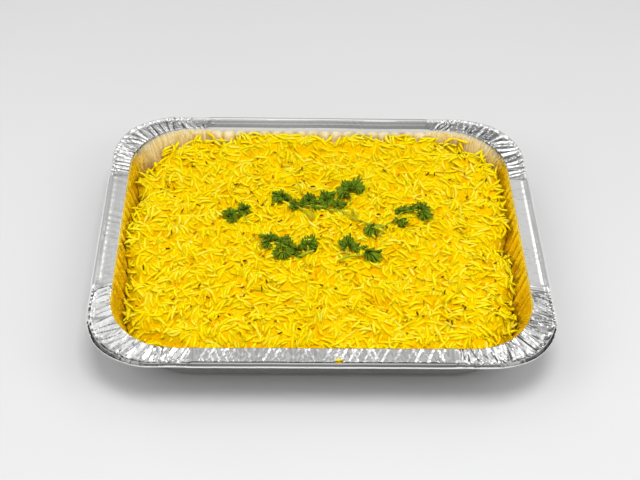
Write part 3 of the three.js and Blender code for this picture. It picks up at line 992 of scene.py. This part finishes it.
def strewn(name, form, places, turns, scales, tones, skin=None):
    """One mesh of many copies of a form, each with its own tone.

    With a skin given, the tones are painted deeper below it and on the sides as the warm shade
    between grains, and deeper where spice stains.
    """
    corners, faces = form
    copies = np.einsum("nij,nvj->nvi", turns, corners[None] * scales[:, None]) + places[:, None]
    count = len(corners)
    joined = [tuple(k + count * n for k in face) for n in range(len(places)) for face in faces]
    mesh = bpy.data.meshes.new(name)
    mesh.from_pydata(copies.reshape(-1, 3), [], joined)
    piece = bpy.data.objects.new(name, mesh)
    bpy.context.scene.collection.objects.link(piece)
    tones = np.repeat(tones, count)
    if skin is not None:
        x, y, z = copies.reshape(-1, 3).T
        sunk = height_over(skin, x, y) - z
        # Painted warm shade: grains lying deeper below the skin are deeper in tone
        tones = tones - PAINTED_SUNK_SHADE * rise(0.8 * MM, 3.0 * MM, sunk) * (sunk < OUT_OF_HEAP)
        normals = np.empty(3 * len(tones))
        mesh.vertex_normals.foreach_get("vector", normals)
        # Painted shade: grain sides and undersides are deeper in tone than their tops
        tones = tones + PAINTED_SIDE_SHADE * (normals[2::3] - 0.75)
        for stain_x, stain_y, spread, depth in STAINS:
            away = (x - stain_x * MM) ** 2 + (y - stain_y * MM) ** 2
            tones = tones - depth * np.exp(-away / (2 * (spread * MM) ** 2))
    attribute(piece, "tone", tones)
    smooth(piece)
    return piece


def rice_pieces():
    """The core and the loose grains; returns the bed that the toppings lie on."""
    x, y = plan_grid()
    surface = rice_surface(x, y)
    kinds = list(GRAIN_KINDS.items())
    sizes = [Size(length * MM, width * MM, bow * MM) for _, (length, width, bow, _, _) in kinds]
    shares = np.array([kind[-1] for _, kind in kinds])
    laid, bed = lay_rice(x, y, surface, sizes, shares / shares.sum())
    core_piece(bed, surface)
    skin = soften(bed, 12)
    laid = np.array(laid + [STRAY_GRAIN])
    finish = rice_finish()
    rng = np.random.default_rng(8)
    for number, (name, (length, width, bow, tip, _)) in enumerate(kinds):
        mine = laid[laid[:, 0] == number]
        form = grain_form(name, length * MM, width * MM, bow * MM, tip)
        count = len(mine)
        scales = np.stack([rng.uniform(*limits, count) for limits in GRAIN_SCALES], 1)
        tones = np.clip(rng.normal(0.5, 0.09, count) + 0.35 * (rng.random(count) < 0.03), 0, 1)
        piece = strewn(name, form, mine[:, 1:4], turned(*mine[:, 4:7].T), scales, tones, skin)
        piece.data.materials.append(finish)
        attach(piece, "root")
        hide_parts("rice_heap")
    return bed


# ---------------------------------------------------------------- seeds and flecks

# Toasted seeds that lie on top, in millimetres in plan
SEED_PLACES = (
    (-98, 75), (-104, 30), (-92, 35), (-110, 4), (-57, 3), (-64, 57), (-36, 36), (1, 23),
    (-20, 55), (44, 24), (41, 0), (102, 67), (93, 102), (82, 49), (130, 65), (136, 40),
    (-128, -30), (-55, -25), (-56, -50), (-39, -46), (-80, -60), (-104, -64), (-77, -83),
    (-29, -96), (-16, -90), (10, -53), (0, -48), (37, -40), (68, -31), (71, -74), (87, -56),
    (87, -82), (90, -83), (78, -93), (99, -69), (127, -25), (118, -21), (132, -56), (124, -71),
)
LOOSE_SEEDS = 26
FLECKS = 95
# How far from the middle the seeds lie, and how much farther out the flecks do
SEEDS_REACH = 118 * MM, 88 * MM
FLECKS_BEYOND = np.array([1.12, 1.08])


def seed_form(name, length, width):
    """A seed drawn out to two points."""
    seed, places = ball(name, 5, (length / 2, width / 2, width * 0.4))
    places[:, 1] += 0.15 * width * np.sin(2 * places[:, 0] / length * 3)
    return places, faces_of(seed)


def scatter_seeds(bed):
    """Dark seeds on top of the rice, and smaller orange-brown flecks, all clear of the walls."""
    rng = np.random.default_rng(9)
    finish = seed_finish()
    loose = rng.uniform(-1, 1, (LOOSE_SEEDS, 2)) * SEEDS_REACH
    seeds = np.concatenate([np.array(SEED_PLACES) * MM, loose])
    flecks = rng.uniform(-1, 1, (FLECKS, 2)) * SEEDS_REACH * FLECKS_BEYOND
    for name, spots, length, width, low, high in (
        ("seeds", seeds, 4.2 * MM, 1.5 * MM, 0.0, 0.3),
        ("spice_flecks", flecks, 2.8 * MM, 1.7 * MM, 0.55, 1.0),
    ):
        form = seed_form(name, length, width)
        size = Size(length, width, 0)
        rows = []
        for x, y in spots:
            turn = rng.uniform(0, math.pi)
            height, slope = lay(bed, x, y, turn, size, rng.random())
            slope = min(max(slope, -STEEPEST), STEEPEST)
            roll = rng.normal(0, 0.4)
            if inset_at(x, y) > wall_inset(height) + length:
                rows.append((x, y, height + 0.4 * MM, turn, slope, roll))
        rows = np.array(rows)
        scales = rng.uniform(0.7, 1.15, (len(rows), 3))
        tones = rng.uniform(low, high, len(rows))
        piece = strewn(name, form, rows[:, :3], turned(*rows[:, 3:6].T), scales, tones)
        piece.data.materials.append(finish)
        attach(piece, "root")


# ---------------------------------------------------------------- parsley

# Each sprig in millimetres in plan: stems from the cut end outwards, and leaves, each deeply cut
# into lobes that spread from a base on a stem to their tips
SPRIGS = {
    "parsley_sprig_main": (
        [
            [(48, 10), (37, 14), (29, 19), (21, 24), (14, 28), (5, 29), (-5, 30), (-20, 34)],
            [(48, 10), (47, 6), (43, 0)],
            [(48, 10), (43, 8), (38, 6)],
            [(28, 20), (24, 32), (24, 49)],
            [(48, 10), (54, 18), (61, 27)],
            [(61, 27), (68, 28), (74, 29)],
            [(-18, 31), (-10, 25), (-4, 20), (-7, 27), (-7, 31)],
        ],
        [
            ((-28, 41), [
                (-38, 41), (-36, 47), (-30, 49), (-24, 47),
                (-20, 41), (-22, 36), (-29, 34), (-36, 36),
            ]),
            ((-17, 34), [(-20, 40), (-24, 34), (-23, 28), (-14, 37), (-17, 28)]),
            ((-8, 36), [(-13, 44), (-8, 47), (-3, 43), (-1, 37), (-10, 31)]),
            ((-2, 32), [(-7, 37), (-6, 27), (0, 26), (4, 31), (1, 38)]),
            ((-14, 34), [(-18, 38), (-17, 30), (-11, 29), (-10, 39)]),
            ((5, 36), [(0, 43), (3, 48), (8, 48), (11, 42), (10, 35), (4, 27), (-1, 32)]),
            ((14, 33), [(12, 41), (19, 41), (19, 34), (14, 27)]),
            ((24, 49), [(12, 46), (13, 52), (18, 58), (25, 62), (32, 63), (35, 59), (30, 54)]),
            ((41, 7), [(31, 9), (31, 2), (36, -2), (37, 13)]),
            ((61, 27), [(57, 33), (64, 37), (67, 31)]),
            ((60, 22), [(57, 15), (60, 9), (64, 14)]),
            ((68, 28), [(70, 35), (70, 23)]),
            ((75, 28), [(74, 38), (80, 34), (84, 27), (83, 16), (77, 21)]),
        ],
    ),
    "parsley_sprig_front": (
        [
            [(-5, -17), (-16, -18), (-25, -12), (-34, -6)],
            [(-6, -18), (-19, -20), (-30, -17)],
            [(-25, -12), (-26, -6)],
            [(-10, -18), (-9, -10)],
        ],
        [
            ((-36, -7), [(-44, -5), (-43, 3), (-37, 5), (-44, -12)]),
            ((-29, -8), [(-30, 3), (-25, 4), (-22, -3), (-33, -3)]),
            ((-29, -16), [(-37, -17), (-34, -23), (-28, -25), (-22, -23), (-22, -13), (-31, -10)]),
            ((-17, -15), [(-22, -20), (-15, -22), (-14, -8), (-22, -9)]),
            ((-24, -11), [(-30, -8), (-21, -5), (-17, -12), (-25, -18)]),
            ((-9, -11), [(-13, -4), (-8, 0), (-4, -2), (-2, -9), (-4, -14), (-14, -11)]),
        ],
    ),
    "parsley_sprig_left": (
        [[(-55, 14), (-56, 21), (-60, 24)]],
        [
            ((-67, 21), [(-73, 25), (-71, 30), (-66, 31), (-72, 17), (-67, 12), (-62, 15)]),
            ((-57, 28), [(-63, 30), (-59, 36), (-53, 35), (-52, 29), (-57, 23)]),
            ((-62, 25), [(-66, 29), (-60, 31), (-58, 22), (-65, 19)]),
        ],
    ),
    "parsley_sprig_right": (
        [
            [(13, -26), (19, -22), (25, -20), (32, -18)],
            [(18, -23), (20, -12)],
        ],
        [
            ((20, -12), [(12, -6), (15, -2), (21, -2), (27, -6), (30, -13)]),
            ((31, -16), [(35, -8), (40, -17), (44, -25), (37, -22)]),
        ],
    ),
}
STEM_RADIUS = 0.72 * MM
LOBE_COLUMNS = 16
LOBE_ROWS = 6
LOBE_SPREAD = math.radians(84)
# The parts of a lobe: how far along it each starts, its turn, and its length as a share
LOBE_PARTS = ((0.25, 0, 0.65), (0.15, 48, 0.48), (0.2, -44, 0.46))
LOBE_TEETH = 4
BLADE = 0.22 * MM


def lobe_piece(base, tip, ground, lift, rng):
    """One lobe of a leaf: a channelled wedge with rounded teeth, arched up and curled over."""
    lobe, column, row = grid_sheet("lobe", LOBE_COLUMNS, LOBE_ROWS)
    across = 2 * column / LOBE_COLUMNS - 1
    out = 0.05 + 0.95 * row / LOBE_ROWS
    tooth = np.clip(np.floor((across + 1) / 2 * LOBE_TEETH), 0, LOBE_TEETH - 1).astype(int)
    swing = math.pi * LOBE_TEETH * (across + 1) / 2
    bulge = np.abs(np.sin(swing)) ** 0.5
    lengths = rng.uniform(0.85, 1.1, LOBE_TEETH)[tooth]
    margin = (1 - 0.2 * across**2) * (0.74 + 0.26 * bulge * lengths)
    reach_out = out * (1 + (margin - 1) * out)
    span = np.array(tip) - np.array(base)
    length = math.hypot(span[0], span[1]) * 1.02
    heading = math.atan2(span[1], span[0])
    bend = rng.uniform(-0.25, 0.25) * out**2
    angle = heading + bend + across * LOBE_SPREAD / 2 * (0.75 + 0.25 * out)
    x = base[0] + length * reach_out * np.cos(angle)
    y = base[1] + length * reach_out * np.sin(angle)
    ridge = -np.cos(2 * swing)
    pleat = rng.uniform(0.09, 0.14) * ridge * out + 0.12 * (1 - across**2) * out
    arch = rng.uniform(0.1, 0.3) * np.sin(math.pi * out**0.8 * 0.95)
    curl = rng.uniform(-0.25, 0.25, LOBE_TEETH)[tooth] * bulge * out**3
    tilt = rng.uniform(-0.5, 0.5) * across * out
    z = base[2] + span[2] * reach_out + length * (pleat + arch - curl + tilt) + lift
    z = np.maximum(z, height_over(ground, x, y) + 0.9 * MM + 0.2 * MM * (1 + ridge))
    place_corners(lobe, np.stack([x, y, z], axis=1))
    middle = np.exp(-((across / (0.10 + 0.05 * out)) ** 2))
    # The middle rib is the paler vein; the side lines along the ridges are partly a painted sheen
    side = 0.6 * (0.5 + 0.5 * ridge) ** 6 * rise(0.3, 0.5, out)
    attribute(lobe, "rib", np.maximum(middle, side) * (1 - 0.5 * out))
    # Painted light and shade: lighter on the ridges and towards the tip, darker in the valleys and
    # near the base
    attribute(lobe, "crest", rng.uniform(-0.1, 0.15) + 0.1 + 0.4 * (1 + ridge) * out)
    weld(lobe)
    thicken(lobe, BLADE, 0.0)
    return lobe


def stem_piece(points, ground, thick):
    """A stem through points in plan, lying on the rice and thinner at its end."""
    points = np.array(points) * MM
    steps = np.concatenate([[0], np.cumsum(np.hypot(*np.diff(points, axis=0).T))])
    count = max(6, int(steps[-1] / (1.6 * MM)))
    even = np.linspace(0, steps[-1], count + 1)
    x, y = np.interp(even, steps, points[:, 0]), np.interp(even, steps, points[:, 1])
    z = height_over(ground, x, y) + thick + 1.8 * MM
    for _ in range(4):
        for line in (x, y, z):
            line[1:-1] = (line[:-2] + 2 * line[1:-1] + line[2:]) / 4
    sides = 7
    stem, column, row = grid_sheet("stem", sides, count + 2)
    spine = np.stack([x, y, z], axis=1)
    ahead = np.gradient(spine, axis=0)
    ahead /= np.linalg.norm(ahead, axis=1)[:, None]
    aside = np.cross(ahead, (0, 0, 1.0))
    aside /= np.linalg.norm(aside, axis=1)[:, None]
    above = np.cross(aside, ahead)
    station = np.clip(row - 1, 0, count)
    closed = (row == 0) | (row == count + 2)
    radius = np.where(closed, 0, thick * (1 - 0.35 * station / count))
    turn = 2 * math.pi * column / sides
    places = spine[station] + radius[:, None] * (
        np.cos(turn)[:, None] * aside[station] + np.sin(turn)[:, None] * above[station]
    )
    place_corners(stem, places)
    attribute(stem, "rib", np.full(len(places), 0.85))
    attribute(stem, "crest", np.full(len(places), 0.7))
    weld(stem, outwards=True)
    return stem


def parsley_sprigs(bed):
    """Four sprigs of curly parsley, each joined into one piece."""
    rng = np.random.default_rng(12)
    ground = soften(bed, 30)
    finish = parsley_finish()
    for name, (stems, leaves) in SPRIGS.items():
        parts = [
            stem_piece(stem, ground, STEM_RADIUS * (1.0 if len(stem) > 3 else 0.75))
            for stem in stems
        ]
        for base, tips in leaves:
            base = np.array(base) * MM
            start = (*base, float(height_over(ground, *base)) + 1.4 * MM)
            for number, tip in enumerate(tips):
                tip = np.array(tip) * MM
                end = (*tip, float(height_over(ground, *tip)) + rng.uniform(0.6, 2.6) * MM)
                span = tip - base
                for share, turn, length in LOBE_PARTS:
                    turn = math.radians(turn + rng.uniform(-12, 12))
                    c, s = math.cos(turn), math.sin(turn)
                    ahead = length * rng.uniform(0.97, 1.18) * np.array(
                        [c * span[0] - s * span[1], s * span[0] + c * span[1]]
                    )
                    foot = base + share * span
                    high = start[2] + share * (end[2] - start[2])
                    toe = foot + ahead
                    parts.append(
                        lobe_piece((*foot, high), (*toe, end[2]), ground, 0.2 * MM * number, rng)
                    )
        sprig = join(parts, name + "_curly")
        smooth(sprig, 50)
        sprig.data.materials.append(finish)
        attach(sprig, "root")
        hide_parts(name)


# ---------------------------------------------------------------- camera, lights, floor

CAMERA_PLACE = (-25.2 * MM, -655.4 * MM, 661.35 * MM)
CAMERA_DOWN = 43.88
CAMERA_TURN = 2.174
CAMERA_ROLL = 1.921
LENS = 69.13

# The sky's brightness from the horizon (0) up to the top (1)
SKY_CLIMB = ((0.0, 0.12), (0.2, 0.14), (0.38, 0.65), (0.6, 1.0))
# and from the near horizon (0) over the top (0.5) to the far horizon (1)
SKY_DEPTH = (
    (0.1, 0.25), (0.32, 0.4), (0.4, 1.0), (0.68, 1.12), (0.735, 0.6), (0.76, 0.55),
    (0.86, 0.77), (0.94, 0.47), (1.0, 0.4),
)
# and from the middle (0) out to either side (1)
SKY_SIDE = (
    (0.0, 0.95), (0.1, 0.75), (0.2, 0.62), (0.25, 0.75), (0.3, 0.92), (0.35, 0.84), (0.43, 1.8),
    (0.56, 1.7), (0.68, 0.5), (0.8, 0.2),
)


def add_camera():
    """The camera, in front of the tray and above it, rolled slightly."""
    bpy.ops.object.camera_add(location=CAMERA_PLACE)
    camera = bpy.context.object
    turn = (
        Matrix.Rotation(-math.radians(CAMERA_TURN), 4, "Z")
        @ Matrix.Rotation(math.radians(90 - CAMERA_DOWN), 4, "X")
        @ Matrix.Rotation(math.radians(CAMERA_ROLL), 4, "Z")
    )
    camera.matrix_world = Matrix.Translation(CAMERA_PLACE) @ turn
    camera.data.sensor_width = 36
    camera.data.lens = LENS
    camera.data.clip_start = 0.05
    bpy.context.scene.camera = camera


def add_light(name, place, aim, size, power):
    """A white softbox turned towards a point, which shows in no mirror."""
    bpy.ops.object.light_add(type="AREA", location=place)
    light = bpy.context.object
    light.name = name
    light.rotation_euler = (Vector(aim) - Vector(place)).to_track_quat("-Z", "Y").to_euler()
    light.data.shape = "RECTANGLE"
    light.data.size, light.data.size_y = size
    light.data.energy = power
    light.visible_glossy = False


def studio_sky(tree):
    """White light all round, whose strength goes by height, depth and side.

    Low on the near side a pale strip lights the far walls of the tray.
    """
    def node(kind, **sockets):
        step = tree.nodes.new(kind)
        for name, value in sockets.items():
            socket = step.inputs[name.replace("_", " ")]
            if isinstance(value, bpy.types.NodeSocket):
                tree.links.new(value, socket)
            else:
                socket.default_value = value
        return step

    def ramp(value, stops):
        step = node("ShaderNodeValToRGB", Fac=value)
        elements = step.color_ramp.elements
        elements.remove(elements[1])
        for number, (position, shade) in enumerate(stops):
            element = elements[0] if number == 0 else elements.new(position)
            element.position, element.color = position, (shade, shade, shade, 1)
        return step.outputs["Color"]

    def span(value, low, high, start=0.0, end=1.0):
        limits = {"From_Min": low, "From_Max": high, "To_Min": start, "To_Max": end}
        return node("ShaderNodeMapRange", Value=value, **limits).outputs[0]

    def maths(operation, *values):
        step = node("ShaderNodeMath")
        step.operation = operation
        for socket, value in zip(step.inputs, values):
            tree.links.new(value, socket)
        return step.outputs[0]

    where = node("ShaderNodeTexCoord").outputs["Generated"]
    across, depth, height = node("ShaderNodeSeparateXYZ", Vector=where).outputs
    climb = ramp(height, SKY_CLIMB)
    behind = ramp(span(depth, -1.0, 1.0), SKY_DEPTH)
    sides = maths("MULTIPLY", ramp(maths("ABSOLUTE", across), SKY_SIDE), climb)
    low = span(height, 0.22, 0.36, 1.0, 0.0)
    near = span(depth, -0.4, -0.8)
    strength = maths("MULTIPLY_ADD", low, near, maths("MULTIPLY", sides, behind))
    background = tree.nodes["Background"].inputs
    tree.links.new(strength, background["Strength"])
    background["Color"].default_value = (1, 1, 1, 1)


def add_stage():
    """A pale table, soft studio light and the camera."""
    bpy.ops.mesh.primitive_plane_add(size=6)
    floor = name_piece("floor")
    floor.data.materials.append(floor_finish())
    world = bpy.data.worlds.new("studio")
    bpy.context.scene.world = world
    world.use_nodes = True
    studio_sky(world.node_tree)
    middle = (0, 0, 0.02)
    add_light("key", (0.05, -0.34, 1.46), middle, (0.56, 0.5), 10.9)
    add_light("left softbox", (-1.0, -0.5, 0.95), middle, (0.7, 0.7), 4.7)
    add_light("right softbox", (1.0, -0.5, 0.95), middle, (0.7, 0.7), 4.7)
    bpy.context.scene.view_settings.view_transform = "Standard"
    add_camera()


# ---------------------------------------------------------------- making

tray_piece()
bed = rice_pieces()
scatter_seeds(bed)
parsley_sprigs(bed)
add_stage()
